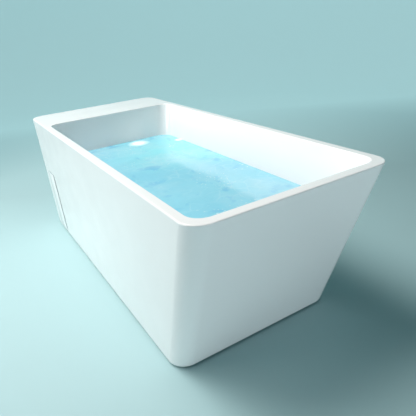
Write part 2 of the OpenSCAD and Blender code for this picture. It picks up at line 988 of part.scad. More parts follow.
module hose_nuts() {
    nut_l = 16;
    color("lightgray") {
        at_overflow()
            translate([0, overflow_spigot_end + nut_l / 2, overflow_spigot_z])
                rotate([90, 0, 0])
                    grip_nut(13.5, spigot_r + slip_fit, nut_l);
        translate([tee_x, branch_end - nut_l / 2, waste_z])
            rotate([-90, 0, 0])
                grip_nut(15, spigot_r + slip_fit, nut_l);
    }
}

// ---------- service hatch ----------

// Ring bonded behind the opening, with two lugs for the hinge pins and a tab for the magnet.
module hatch_frame() {
    color(pipe_white)
        at_hatch()
            difference() {
                union() {
                    hatch_plate(
                        hatch_w + 2 * frame_border, hatch_h + 2 * frame_border, frame_corner_r, frame_back, frame_face
                    );
                    for (side = [0, 1])
                        mirror([0, 0, side])
                            translate([pivot_u - 6, pivot_v - 6, lug_low])
                                cube([12, frame_face - pivot_v + 6, lug_high - lug_low]);
                    translate([-hatch_w / 2 - 8, frame_back - 3, -20])
                        cube([26, 3, 40]);
                    translate([-hatch_w / 2 - 8, frame_back - 3, -20])
                        cube([7, 4, 40]);
                }
                hatch_plate(hatch_w, hatch_h, hatch_corner_r, frame_back, cut);
                translate([pivot_u, pivot_v, -lug_high - cut])
                    cylinder(r = pivot_pin_r + run_fit, h = 2 * (lug_high + cut));
            }
}

// Door panel with a hinge ear near each end.
module hatch_door() {
    color(acrylic)
        at_hatch()
            difference() {
                union() {
                    hatch_plate(2 * door_half_w, 2 * door_half_h, 6, door_back, door_proud);
                    for (side = [0, 1])
                        mirror([0, 0, side]) {
                            translate([pivot_u, pivot_v, ear_low])
                                cylinder(r = ear_r, h = ear_high - ear_low);
                            translate([pivot_u - ear_r, pivot_v, ear_low])
                                cube([2 * ear_r, door_back - pivot_v + 1, ear_high - ear_low]);
                        }
                }
                translate([pivot_u, pivot_v, -ear_high - cut])
                    cylinder(r = pivot_pin_r + run_fit, h = 2 * (ear_high + cut));
            }
}

module hatch_pins() {
    color(zinc)
        at_hatch()
            for (side = [0, 1])
                mirror([0, 0, side])
                    translate([pivot_u, pivot_v, ear_low - cut])
                        cylinder(r = pivot_pin_r, h = lug_high - ear_low + cut);
}

module hatch_magnet() {
    color("dimgray")
        at_hatch()
            translate([-hatch_w / 2 + 5, frame_back, 1 - catch_h / 2])
                cube([catch_w, 4.2, catch_h - 2]);
}

module hatch_strike() {
    color(zinc)
        at_hatch()
            translate([-hatch_w / 2 + 5, door_back - strike_t, -catch_h / 2])
                cube([catch_w + 2, strike_t, catch_h]);
}

basin();
outer_skirt();
base_board();
rail(1);  // rail_left
rail(-1);  // rail_right
crossbar(bar_x[0]);  // crossbar_head
crossbar(bar_x[1]);  // crossbar_middle
crossbar(bar_x[2]);  // crossbar_tap
tube_end_caps();
board_screws();
frame_bolts();
skirt_stays();
foot_stud(1);  // foot_stud_1
foot_stud(2);  // foot_stud_2
foot_stud(3);  // foot_stud_3
foot_stud(4);  // foot_stud_4
foot_stud(5);  // foot_stud_5
foot_stud(6);  // foot_stud_6
foot_pad(1);  // foot_pad_1
foot_pad(2);  // foot_pad_2
foot_pad(3);  // foot_pad_3
foot_pad(4);  // foot_pad_4
foot_pad(5);  // foot_pad_5
foot_pad(6);  // foot_pad_6
foot_lock_nuts();
drain_flange();
drain_gasket();
drain_washer();
drain_nut();
plug_cap();
plug_seal();
plug_stem();
plug_cartridge();
plug_spring();
waste_elbow();
waste_tee();
trap_body();
trap_insert();
trap_lid();
trap_lid_seal();
outlet_pipe();
slip_nuts();
overflow_cover();
overflow_screw();
overflow_front_seal();
overflow_body();
overflow_rear_seal();
overflow_hose();
hose_nuts();
hatch_frame();
hatch_door();
hatch_pins();
hatch_magnet();
hatch_strike();
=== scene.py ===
"""Looks of the freestanding bathtub: smooth acrylic shells, bath water, chrome, pipework and frame."""

import json
import math

import bpy
from mathutils import Matrix, Vector, noise


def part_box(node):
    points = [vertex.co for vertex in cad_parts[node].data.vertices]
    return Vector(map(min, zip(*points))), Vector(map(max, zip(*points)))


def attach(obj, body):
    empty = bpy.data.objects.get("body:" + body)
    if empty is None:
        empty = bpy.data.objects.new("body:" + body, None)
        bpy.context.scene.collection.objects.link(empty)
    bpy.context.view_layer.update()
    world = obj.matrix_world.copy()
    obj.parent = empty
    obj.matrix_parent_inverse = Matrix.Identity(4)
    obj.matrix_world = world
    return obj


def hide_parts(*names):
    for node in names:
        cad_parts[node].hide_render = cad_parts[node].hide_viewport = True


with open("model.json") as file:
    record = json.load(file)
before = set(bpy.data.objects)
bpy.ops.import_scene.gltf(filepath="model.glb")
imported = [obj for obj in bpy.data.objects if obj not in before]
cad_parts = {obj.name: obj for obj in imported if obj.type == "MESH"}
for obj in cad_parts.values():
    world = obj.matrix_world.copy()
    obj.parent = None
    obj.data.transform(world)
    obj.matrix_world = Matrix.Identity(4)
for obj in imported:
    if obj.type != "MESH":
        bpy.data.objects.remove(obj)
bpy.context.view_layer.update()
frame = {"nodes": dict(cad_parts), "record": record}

# ---------- driving dimensions, in metres, as in the CAD ----------

BATH_L = 1.700
BATH_W = 0.700
RIM_Z = 0.610
SHELL_T = 0.005
RIM_T = 0.006
END_LEAN = 0.221
SIDE_LEAN = 0.019
CORNER_R = 0.063
FLOOR_GAP = 0.006
LIP_W = 0.020
LIP_T = 0.004

RIM_ROUND = 0.005        # radius of the rim's outer edge
MOUTH_ROUND = 0.003      # radius of the rim's inner edge
RIM_SIDE = 0.0305
RIM_HEAD = 0.0345
LEDGE_W = 0.281
MOUTH_R = 0.048
FOOT_R = 0.110
FLOOR_ROUND = 0.060
BASIN_FLOOR = 0.110
SIDE_SLOPE = 0.186       # the slopes say how far each inner wall leans in for each metre of depth
TAP_SLOPE = 0.131
BACK_SLOPE = 0.424

WATER_Z = 0.449
DRAIN_X = 0.380
DRAIN_HOLE_R = 0.0255
OVERFLOW_DROP = 0.110
OVERFLOW_HOLE_R = 0.026

HATCH_X = 0.680
HATCH_Z = 0.183
HATCH_W = 0.116
HATCH_H = 0.314
HATCH_CORNER_R = 0.008
DOOR_PROUD = 0.002
DOOR_T = 0.004
DOOR_CORNER_R = 0.006
DOOR_GAP_SIDE = 0.0035
DOOR_GAP_END = 0.0015

EDGE_Z = RIM_Z - RIM_ROUND
SIDE_TILT = math.atan(SIDE_LEAN / EDGE_Z)
WALL_LEAN = math.atan(SIDE_SLOPE)
DOOR_HALF_W = HATCH_W / 2 - DOOR_GAP_SIDE
DOOR_HALF_H = HATCH_H / 2 - DOOR_GAP_END
DOOR_BACK = DOOR_PROUD - DOOR_T

CORNER_STEPS = 20
BEND_STEPS = 14
EDGE_STEPS = 6           # steps round each small edge of the rim
SMOOTH_ANGLE = 35.0      # edges sharper than this many degrees stay sharp
GUARD = 0.008            # a flat strip beside each round corner, which keeps its shading off the flat walls
ON_AXIS = 1e-6           # a radius below this is on the axis of a turned piece
CUT_REACH = 0.02         # how far a cutter reaches on both sides of the wall that it cuts


# ---------- camera ----------

def make_camera():
    """The main view: from above the raked end's left corner, with a little roll."""
    data = bpy.data.cameras.new("camera")
    data.lens = 37.65
    data.sensor_width = 36.0
    data.shift_x = 0.0094
    data.shift_y = -0.0158
    camera = bpy.data.objects.new("camera", data)
    camera.location = (-1.6135, 0.7470, 1.0498)
    camera.rotation_euler = [math.radians(a) for a in (66.542, 4.419, -121.799)]
    bpy.context.scene.collection.objects.link(camera)
    bpy.context.scene.camera = camera


make_camera()


# ---------- mesh helpers ----------

def add_piece(name, points, faces, smooth_angle=SMOOTH_ANGLE):
    """A mesh object with smooth shading and sharp edges above smooth_angle degrees."""
    mesh = bpy.data.meshes.new(name)
    mesh.from_pydata([tuple(p) for p in points], [], faces)
    mesh.validate()
    mesh.update()
    piece = bpy.data.objects.new(name, mesh)
    bpy.context.scene.collection.objects.link(piece)
    shade(piece, smooth_angle)
    return piece


def shade(piece, smooth_angle=SMOOTH_ANGLE):
    """Smooth shading, with sharp edges above smooth_angle degrees."""
    mesh = piece.data
    mesh.polygons.foreach_set("use_smooth", [True] * len(mesh.polygons))
    mesh.set_sharp_from_angle(angle=math.radians(smooth_angle))


def apply_modifiers(piece):
    """Turns the piece's modifiers into plain mesh."""
    depsgraph = bpy.context.evaluated_depsgraph_get()
    mesh = bpy.data.meshes.new_from_object(piece.evaluated_get(depsgraph))
    piece.modifiers.clear()
    old = piece.data
    piece.data = mesh
    bpy.data.meshes.remove(old)


def cut_away(piece, cutters):
    """Subtracts the cutters from the piece and deletes them."""
    for cutter in cutters:
        boolean = piece.modifiers.new("cut", "BOOLEAN")
        boolean.operation = "DIFFERENCE"
        boolean.solver = "EXACT"
        boolean.object = cutter
    bpy.context.view_layer.update()
    apply_modifiers(piece)
    for cutter in cutters:
        bpy.data.objects.remove(cutter)


def bevel(piece, width):
    """Rounds the piece's sharp edges by width."""
    modifier = piece.modifiers.new("bevel", "BEVEL")
    modifier.width = width
    modifier.segments = 3
    modifier.limit_method = "ANGLE"
    modifier.angle_limit = math.radians(40.0)
    bpy.context.view_layer.update()
    apply_modifiers(piece)
    shade(piece)


def rounded_ring(x0, x1, half_width, radius, z):
    """Points round a rounded rectangle, anticlockwise from above, with guard points beside each arc."""
    points = []
    for corner in range(4):
        cx = x1 - radius if corner in (0, 3) else x0 + radius
        cy = (1 if corner < 2 else -1) * (half_width - radius)
        start = math.radians(90 * corner)
        along_start = Vector((math.sin(start), -math.cos(start)))
        first = Vector((cx + radius * math.cos(start), cy + radius * math.sin(start)))
        points.append((*(first + along_start * GUARD), z))
        for k in range(CORNER_STEPS + 1):
            a = math.radians(90 * (corner + k / CORNER_STEPS))
            points.append((cx + radius * math.cos(a), cy + radius * math.sin(a), z))
        end = math.radians(90 * (corner + 1))
        last = Vector((cx + radius * math.cos(end), cy + radius * math.sin(end)))
        points.append((*(last + Vector((-math.sin(end), math.cos(end))) * GUARD), z))
    return points


def outer_ring(z, grow=0.0):
    """The bath's outside at height z, moved outwards by grow."""
    share = 1 - z / EDGE_Z
    return rounded_ring(
        -BATH_L / 2 + END_LEAN * share - grow,
        BATH_L / 2 + grow,
        BATH_W / 2 - SIDE_LEAN * share + grow,
        CORNER_R + grow,
        z,
    )


def basin_ring(z, inset=0.0):
    """The bowl's inside at height z, drawn in by inset."""
    depth = RIM_Z - z
    share = depth / (RIM_Z - BASIN_FLOOR)
    return rounded_ring(
        -BATH_L / 2 + RIM_HEAD + BACK_SLOPE * depth + inset,
        BATH_L / 2 - LEDGE_W - TAP_SLOPE * depth - inset,
        BATH_W / 2 - RIM_SIDE - SIDE_SLOPE * depth - inset,
        MOUTH_R + (FOOT_R - MOUTH_R) * share - inset,
        z,
    )


def bend_ring(share, grow=0.0):
    """The bend from wall to floor, at a share of its quarter turn. grow is 0 on the inside."""
    a = share * math.pi / 2
    radius = FLOOR_ROUND + grow
    z = BASIN_FLOOR - grow + radius * (1 - math.sin(a))
    return basin_ring(z, radius * (1 - math.cos(a)) - grow)


def loft(name, rings, capped):
    """Skins a row of rings that go up the inside and down the outside. Without caps it closes on itself."""
    n = len(rings[0])
    points = [p for ring in rings for p in ring]
    spans = len(rings) - 1 if capped else len(rings)
    faces = []
    for i in range(spans):
        j = (i + 1) % len(rings)
        for k in range(n):
            m = (k + 1) % n
            faces.append((i * n + k, j * n + k, j * n + m, i * n + m)[::-1])
    if capped:
        faces.append(tuple(range(n)))
        faces.append(tuple((len(rings) - 1) * n + k for k in reversed(range(n))))
    return add_piece(name, points, faces)


def lathe(name, profile, steps=96, smooth_angle=SMOOTH_ANGLE):
    """Turns an outline of (radius, height) points about Z. An outline that starts off the axis is closed."""
    points = []
    faces = []
    rows = []
    for radius, z in profile:
        if radius < ON_AXIS:
            rows.append([len(points)] * steps)
            points.append((0, 0, z))
        else:
            rows.append(list(range(len(points), len(points) + steps)))
            points += [
                (radius * math.cos(2 * math.pi * k / steps), radius * math.sin(2 * math.pi * k / steps), z)
                for k in range(steps)
            ]
    closed = profile[0][0] > ON_AXIS
    spans = len(rows) if closed else len(rows) - 1
    for i in range(spans):
        low, high = rows[i], rows[(i + 1) % len(rows)]
        for k in range(steps):
            m = (k + 1) % steps
            corners = []
            for corner in (low[k], low[m], high[m], high[k]):
                if corner not in corners:
                    corners.append(corner)
            if len(corners) > 2:
                faces.append(tuple(corners))
    return add_piece(name, points, faces, smooth_angle)


def arc(cx, cz, radius, start, end, steps):
    """Points along an arc in a lathe outline, angles in degrees."""
    return [
        (
            cx + radius * math.cos(math.radians(start + (end - start) * k / steps)),
            cz + radius * math.sin(math.radians(start + (end - start) * k / steps)),
        )
        for k in range(steps + 1)
    ]


def hole_cutter(name, radius, reach):
    """A cylinder about Z, from -reach to reach."""
    return lathe(name, [(0, -reach), (radius, -reach), (radius, reach), (0, reach)])


def box_mesh(name, low, high):
    """A box between two corners."""
    x0, y0, z0 = low
    x1, y1, z1 = high
    points = [(x, y, z) for z in (z0, z1) for y in (y0, y1) for x in (x0, x1)]
    faces = [(0, 2, 3, 1), (4, 5, 7, 6), (0, 1, 5, 4), (1, 3, 7, 5), (3, 2, 6, 7), (2, 0, 4, 6)]
    return add_piece(name, points, faces)


def plate(name, width, height, radius, front, back):
    """A rounded plate in the XZ plane, from y = back out to y = front."""
    outline = []
    for corner in range(4):
        cx = (1 if corner in (0, 3) else -1) * (width / 2 - radius)
        cz = (1 if corner < 2 else -1) * (height / 2 - radius)
        outline += arc(cx, cz, radius, 90 * corner, 90 * (corner + 1), 8)
    n = len(outline)
    points = [(x, back, z) for x, z in outline] + [(x, front, z) for x, z in outline]
    faces = [tuple(range(n)), tuple(reversed(range(n, 2 * n)))]
    faces += [(k, n + k, n + (k + 1) % n, (k + 1) % n) for k in range(n)]
    return add_piece(name, points, faces)


def join(pieces, name):
    """Joins meshes into one object."""
    points = []
    faces = []
    for piece in pieces:
        start = len(points)
        points += [piece.matrix_world @ v.co for v in piece.data.vertices]
        faces += [tuple(start + v for v in p.vertices) for p in piece.data.polygons]
        bpy.data.objects.remove(piece)
    return add_piece(name, points, faces)


def place(piece, matrix):
    """Moves the mesh itself, so that the object's origin stays at the frame's."""
    piece.data.transform(matrix)
    piece.data.update()


HATCH_PLACE = (
    Matrix.Translation((HATCH_X, BATH_W / 2 - SIDE_LEAN * (1 - HATCH_Z / EDGE_Z), HATCH_Z))
    @ Matrix.Rotation(-SIDE_TILT, 4, "X")
)
OVERFLOW_Y = BATH_W / 2 - RIM_SIDE - SIDE_SLOPE * OVERFLOW_DROP
OVERFLOW_PLACE = (
    Matrix.Translation((DRAIN_X, OVERFLOW_Y, RIM_Z - OVERFLOW_DROP))
    @ Matrix.Rotation(math.pi / 2 - WALL_LEAN, 4, "X")
)


# ---------- materials ----------

class Shader:
    """A Principled material with short calls for its procedural nodes."""

    def __init__(self, name, colour, roughness, metallic=0.0, **sockets):
        self.material = bpy.data.materials.new(name)
        self.material.use_nodes = True
        self.tree = self.material.node_tree
        self.bsdf = self.tree.nodes["Principled BSDF"]
        self.set("Base Color", (*colour, 1.0))
        self.set("Roughness", roughness)
        self.set("Metallic", metallic)
        for socket, value in sockets.items():
            self.set(socket.replace("_", " "), value)
        self.coords = self.tree.nodes.new("ShaderNodeTexCoord").outputs["Object"]

    def set(self, socket, value):
        """Sets one of the Principled shader's own sockets."""
        self.bsdf.inputs[socket].default_value = value

    def node(self, kind, **inputs):
        """A new node with its named inputs fed."""
        made = self.tree.nodes.new(kind)
        for socket, value in inputs.items():
            self.feed(made.inputs[socket.replace("_", " ")], value)
        return made

    def feed(self, socket, value):
        """Links a socket to the input, or sets the input to a plain value."""
        if isinstance(value, bpy.types.NodeSocket):
            self.tree.links.new(value, socket)
        else:
            socket.default_value = value

    def noise(self, scale, detail=3.0, coords=None):
        made = self.node("ShaderNodeTexNoise", Scale=scale, Detail=detail)
        self.feed(made.inputs["Vector"], coords or self.coords)
        return made.outputs["Fac"]

    def cells(self, scale, coords=None, feature="F1"):
        made = self.node("ShaderNodeTexVoronoi", Scale=scale)
        made.feature = feature
        self.feed(made.inputs["Vector"], coords or self.coords)
        return made.outputs["Distance"]

    def span(self, value, low, high, to_low=0.0, to_high=1.0):
        """Maps low..high to to_low..to_high, and holds the ends."""
        made = self.node("ShaderNodeMapRange")
        self.feed(made.inputs["Value"], value)
        made.inputs["From Min"].default_value = low
        made.inputs["From Max"].default_value = high
        made.inputs["To Min"].default_value = to_low
        made.inputs["To Max"].default_value = to_high
        return made.outputs["Result"]

    def vector_math(self, operation, first, second=(0.0, 0.0, 0.0)):
        made = self.tree.nodes.new("ShaderNodeVectorMath")
        made.operation = operation
        self.feed(made.inputs[0], first)
        self.feed(made.inputs[1], second)
        return made

    def warped(self, scale, detail, amount):
        """The object's coordinates, pushed about by a noise."""
        drift = self.node("ShaderNodeTexNoise", Scale=scale, Detail=detail)
        self.feed(drift.inputs["Vector"], self.coords)
        push = self.vector_math("SCALE", drift.outputs["Color"])
        push.inputs["Scale"].default_value = amount
        return self.vector_math("ADD", self.coords, push.outputs["Vector"]).outputs["Vector"]

    def near(self, coords, centre, inner, outer, share=1.0):
        """The share within the inner distance of the centre, fading to 0 at the outer one."""
        distance = self.vector_math("DISTANCE", coords, centre).outputs["Value"]
        return self.span(distance, inner, outer, share, 0.0)

    def mix(self, share, first, second):
        """Blends two colours, from the first at share 0 to the second at share 1."""
        made = self.tree.nodes.new("ShaderNodeMix")
        made.data_type = "RGBA"
        self.feed(made.inputs["Factor"], share)
        colour_inputs = [s for s in made.inputs if s.type == "RGBA"]
        for socket, value in zip(colour_inputs, (first, second)):
            self.feed(socket, value if isinstance(value, bpy.types.NodeSocket) else (*value, 1.0))
        return [s for s in made.outputs if s.type == "RGBA"][0]

    def math(self, operation, first, second):
        made = self.tree.nodes.new("ShaderNodeMath")
        made.operation = operation
        self.feed(made.inputs[0], first)
        self.feed(made.inputs[1], second)
        return made.outputs[0]

    def bump(self, height, distance, strength=1.0):
        made = self.node("ShaderNodeBump", Strength=strength, Distance=distance)
        self.feed(made.inputs["Height"], height)
        self.feed(self.bsdf.inputs["Normal"], made.outputs["Normal"])

    def colour(self, value):
        self.feed(self.bsdf.inputs["Base Color"], value)

    def roughness(self, value):
        self.feed(self.bsdf.inputs["Roughness"], value)


def acrylic_material():
    """Glossy white sanitary acrylic: a faint orange peel, and very slight clouding of its colour."""
    s = Shader("acrylic_white", (0.93, 0.93, 0.925), 0.16, IOR=1.49, Coat_Weight=0.35, Coat_Roughness=0.05)
    s.colour(s.mix(s.noise(2.2, 4.0), (0.915, 0.92, 0.92), (0.945, 0.94, 0.935)))
    s.roughness(s.span(s.noise(9.0, 5.0), 0.3, 0.7, 0.13, 0.22))
    s.bump(s.noise(260.0, 2.0), 0.00004, 0.35)
    return s.material


def water_material():
    """Blue bath water: soft patches, a painted pool of light near the tap end, a faint net of painted
    caustic light, haze, fine bubbles and two painted glints; it also glows a little all over, most at the
    glints.
    """
    painted_light_centre = (0.34, -0.10, WATER_Z)
    glint = (0.475, -0.088, WATER_Z)
    small_glint = (0.378, -0.275, WATER_Z)
    s = Shader(
        "bath_water", (0.30, 0.72, 0.88), 0.03,
        IOR=1.333, Alpha=0.94, Coat_Weight=0.5, Coat_Roughness=0.02,
    )
    warped = s.warped(3.5, 4.0, 0.16)
    patches = s.span(s.noise(3.0, 5.0, warped), 0.32, 0.68)
    body = s.mix(patches, (0.25, 0.64, 0.80), (0.32, 0.71, 0.84))
    # painted light: a brighter cyan pool round this point, near the tap end
    body = s.mix(s.near(warped, painted_light_centre, 0.12, 0.40, 0.75), body, (0.27, 0.86, 0.92))
    dim = s.span(s.noise(13.0, 5.0, warped), 0.57, 0.70, 0.0, 0.50)
    body = s.mix(dim, body, (0.09, 0.42, 0.72))
    haze = s.span(s.noise(4.5, 6.0, warped), 0.47, 0.68, 0.0, 0.34)
    body = s.mix(haze, body, (0.55, 0.80, 0.88))
    # painted light: a faint net of bright caustic lines, in patches
    painted_caustics = s.span(s.cells(17.0, warped, "DISTANCE_TO_EDGE"), 0.0, 0.07, 1.0, 0.0)
    painted_caustics_share = s.math("MULTIPLY", painted_caustics, s.span(s.noise(5.0, 3.0), 0.44, 0.66, 0.0, 0.22))
    body = s.mix(painted_caustics_share, body, (0.70, 0.93, 0.97))
    froth = s.span(s.cells(60.0, warped), 0.14, 0.26, 1.0, 0.0)
    froth_share = s.math("MULTIPLY", froth, s.span(s.noise(6.5, 4.0), 0.52, 0.62, 0.0, 0.6))
    body = s.mix(froth_share, body, (0.85, 0.97, 1.0))
    # painted highlights: two soft white glints near the tap end
    glints = s.math(
        "MAXIMUM",
        s.near(s.coords, glint, 0.006, 0.062),
        s.near(s.coords, small_glint, 0.002, 0.026),
    )
    body = s.mix(glints, body, (1.0, 1.0, 1.0))
    s.colour(body)
    # painted light: the water glows faintly all over in its own colour, and brightly at the painted glints
    s.feed(s.bsdf.inputs["Emission Color"], body)
    s.feed(s.bsdf.inputs["Emission Strength"], s.span(glints, 0.0, 1.0, 0.05, 0.9))
    s.bump(s.noise(30.0, 3.0, warped), 0.0016, 0.5)
    return s.material


def chrome_material():
    """Polished chrome, with faint smears in its gloss."""
    s = Shader("polished_chrome", (0.80, 0.82, 0.84), 0.05, 1.0)
    s.roughness(s.span(s.noise(60.0, 4.0), 0.3, 0.75, 0.03, 0.11))
    s.bump(s.noise(900.0, 2.0), 0.00001, 0.2)
    return s.material


def zinc_material():
    """Zinc plate: fine brushed grain and cloudy spangle."""
    s = Shader("zinc_plate", (0.60, 0.62, 0.64), 0.32, 0.9)
    s.colour(s.mix(s.noise(45.0, 5.0), (0.50, 0.52, 0.54), (0.70, 0.71, 0.72)))
    s.roughness(s.span(s.noise(180.0, 3.0), 0.3, 0.7, 0.24, 0.42))
    s.bump(s.noise(700.0, 3.0), 0.00003, 0.4)
    return s.material


def frame_steel_material():
    """Galvanised tube: angular spangle under a thin grey lacquer."""
    s = Shader("galvanised_steel", (0.46, 0.49, 0.52), 0.42, 0.75)
    s.colour(s.mix(s.cells(75.0), (0.40, 0.43, 0.46), (0.60, 0.63, 0.66)))
    s.roughness(s.span(s.noise(35.0, 4.0), 0.3, 0.7, 0.34, 0.52))
    s.bump(s.noise(420.0, 3.0), 0.00005, 0.5)
    return s.material


def board_material():
    """Chipboard under resin: flakes of two browns."""
    s = Shader("sealed_chipboard", (0.52, 0.38, 0.22), 0.5, Coat_Weight=0.2, Coat_Roughness=0.3)
    flakes = s.span(s.cells(160.0), 0.1, 0.7)
    darkness = s.math("MULTIPLY", flakes, s.noise(24.0, 4.0))
    s.colour(s.mix(s.span(darkness, 0.05, 0.4), (0.62, 0.47, 0.29), (0.34, 0.23, 0.13)))
    s.bump(flakes, 0.0003, 0.5)
    return s.material


def plastic_material(name, light, dark, roughness, grain):
    """Moulded plastic with a fine grain."""
    s = Shader(name, light, roughness)
    s.colour(s.mix(s.noise(14.0, 4.0), light, dark))
    s.roughness(s.span(s.noise(90.0, 3.0), 0.3, 0.7, roughness - 0.05, roughness + 0.07))
    s.bump(s.noise(grain, 3.0), 0.00006, 0.5)
    return s.material


def brass_material():
    """Turned brass, a little clouded."""
    s = Shader("turned_brass", (0.72, 0.52, 0.22), 0.25, 1.0)
    s.colour(s.mix(s.noise(70.0, 4.0), (0.62, 0.44, 0.18), (0.80, 0.60, 0.28)))
    s.bump(s.noise(500.0, 2.0), 0.00003, 0.4)
    return s.material


def floor_material():
    """Plain blue-green studio floor, pale round the bath, with a glow low on the backdrop behind it."""
    s = Shader("pale_floor", (0.60, 0.86, 0.88), 0.6, Specular_IOR_Level=0.2)
    reach = s.vector_math("LENGTH", s.coords).outputs["Value"]
    far = s.span(reach, 1.9, 3.2)
    s.colour(s.mix(far, (0.42, 0.61, 0.63), (0.25, 0.41, 0.44)))
    behind = s.vector_math("DOT_PRODUCT", s.coords, (0.87, -0.50, 0.0)).outputs["Value"]
    glow = s.span(behind, 1.0, 3.2, 0.0, 0.40)
    s.set("Emission Color", (0.63, 0.98, 1.0, 1.0))
    s.feed(s.bsdf.inputs["Emission Strength"], glow)
    return s.material


MATERIALS = {
    "acrylic": acrylic_material(),
    "board": board_material(),
    "frame_steel": frame_steel_material(),
    "zinc": zinc_material(),
    "chrome": chrome_material(),
    "brass_nut": brass_material(),
    "water": water_material(),
}

# name of the material: its slot, the light and the dark colour, roughness, scale of the grain
PLASTICS = {
    "black_plastic": ("black_plastic", (0.030, 0.031, 0.033), (0.045, 0.046, 0.048), 0.45, 600.0),
    "soft_rubber": ("seal", (0.025, 0.025, 0.025), (0.045, 0.044, 0.043), 0.65, 380.0),
    "pipe_white": ("pipe_white", (0.80, 0.80, 0.78), (0.72, 0.72, 0.70), 0.34, 520.0),
    "nut_grey": ("nut_grey", (0.36, 0.37, 0.38), (0.30, 0.31, 0.32), 0.38, 520.0),
    "hose_grey": ("hose_grey", (0.33, 0.34, 0.35), (0.27, 0.28, 0.29), 0.42, 480.0),
    # painted shade: the grey that stands for the shaded gap round the hatch door
    "painted_shade_grey": ("painted_shade", (0.30, 0.37, 0.39), (0.24, 0.31, 0.33), 0.45, 420.0),
}
for name, (slot, light, dark, roughness, grain) in PLASTICS.items():
    MATERIALS[slot] = plastic_material(name, light, dark, roughness, grain)


def dress(piece, slot):
    """Gives the piece the material of a slot."""
    piece.data.materials.clear()
    piece.data.materials.append(MATERIALS[slot])


def finish_piece(piece, slot, body, *replaced):
    """Material, body and slot of a visible piece, and the CAD nodes that it stands in for."""
    dress(piece, slot)
    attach(piece, body)
    if replaced:
        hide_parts(*replaced)


def dress_cad_nodes():
    """Gives every CAD node the material of its slot."""
    for row in frame["record"]["subparts"]:
        node = frame["nodes"][row["node"]]
        if not node.material_slots:
            node.data.materials.append(None)
        for material_slot in node.material_slots:
            material_slot.material = MATERIALS[row["material_slot"]]


# ---------- shells ----------

def make_basin():
    """Bowl, rim and ledge as one smooth moulding, with its drain and overflow holes."""
    mouth_z = RIM_Z - MOUTH_ROUND
    strip = 0.002            # flat strip on the rim beside each rounded edge
    rings = [bend_ring(1 - k / BEND_STEPS) for k in range(BEND_STEPS + 1)]
    rings.append(basin_ring(BASIN_FLOOR + FLOOR_ROUND + GUARD))
    rings.append(basin_ring(mouth_z - GUARD))
    for k in range(EDGE_STEPS + 1):
        a = math.radians(90 * k / EDGE_STEPS)
        rings.append(basin_ring(mouth_z + MOUTH_ROUND * math.sin(a), -MOUTH_ROUND * (1 - math.cos(a))))
    rings.append(basin_ring(RIM_Z, -MOUTH_ROUND - strip))
    rings.append(outer_ring(RIM_Z, -RIM_ROUND - strip))
    for k in range(EDGE_STEPS + 1):
        a = math.radians(90 - 90 * k / EDGE_STEPS)
        rings.append(outer_ring(EDGE_Z + RIM_ROUND * math.sin(a), -RIM_ROUND * (1 - math.cos(a))))
    rings.append(outer_ring(RIM_Z - RIM_T))
    rings.append(basin_ring(RIM_Z - RIM_T, -SHELL_T))
    rings += [bend_ring(k / BEND_STEPS, SHELL_T) for k in range(BEND_STEPS + 1)]
    basin = loft("basin_moulding", rings, True)
    drain_cut = hole_cutter("drain_cut", DRAIN_HOLE_R, 0.03)
    place(drain_cut, Matrix.Translation((DRAIN_X, 0, BASIN_FLOOR)))
    overflow_cut = hole_cutter("overflow_cut", OVERFLOW_HOLE_R, CUT_REACH)
    place(overflow_cut, OVERFLOW_PLACE)
    cut_away(basin, [drain_cut, overflow_cut])
    shade(basin)
    finish_piece(basin, "acrylic", "tub", "basin")


def make_skirt():
    """The outer shell, with a rounded foot and the opening for the hatch."""
    foot_round = 0.003
    foot_steps = 4
    lip_top = FLOOR_GAP + LIP_T
    rings = [
        outer_ring(FLOOR_GAP, -SHELL_T - LIP_W),
        outer_ring(lip_top, -SHELL_T - LIP_W),
        outer_ring(lip_top, -SHELL_T),
        outer_ring(RIM_Z - RIM_T, -SHELL_T),
        outer_ring(RIM_Z - RIM_T),
        outer_ring(FLOOR_GAP + foot_round + GUARD),
    ]
    for k in range(foot_steps + 1):
        a = math.radians(90 * k / foot_steps)
        z = FLOOR_GAP + foot_round * (1 - math.sin(a))
        rings.append(outer_ring(z, -foot_round * (1 - math.cos(a))))
    skirt = loft("skirt_moulding", rings, False)
    opening = plate("hatch_cut", HATCH_W, HATCH_H, HATCH_CORNER_R, CUT_REACH, -CUT_REACH)
    place(opening, HATCH_PLACE)
    cut_away(skirt, [opening])
    shade(skirt)
    finish_piece(skirt, "acrylic", "tub", "outer_skirt")


# ---------- water ----------

def ripple(x, y):
    """Height of the calm, slightly moving surface."""
    swell = 0.0016 * math.sin(9.0 * x + 4.0 * y + 0.6) * math.sin(5.0 * y - 3.0 * x)
    chop = 0.0020 * noise.noise(Vector((x * 6.0, y * 6.0, 0.3)))
    fine = 0.0007 * noise.noise(Vector((x * 22.0, y * 22.0, 1.7)))
    return swell + chop + fine


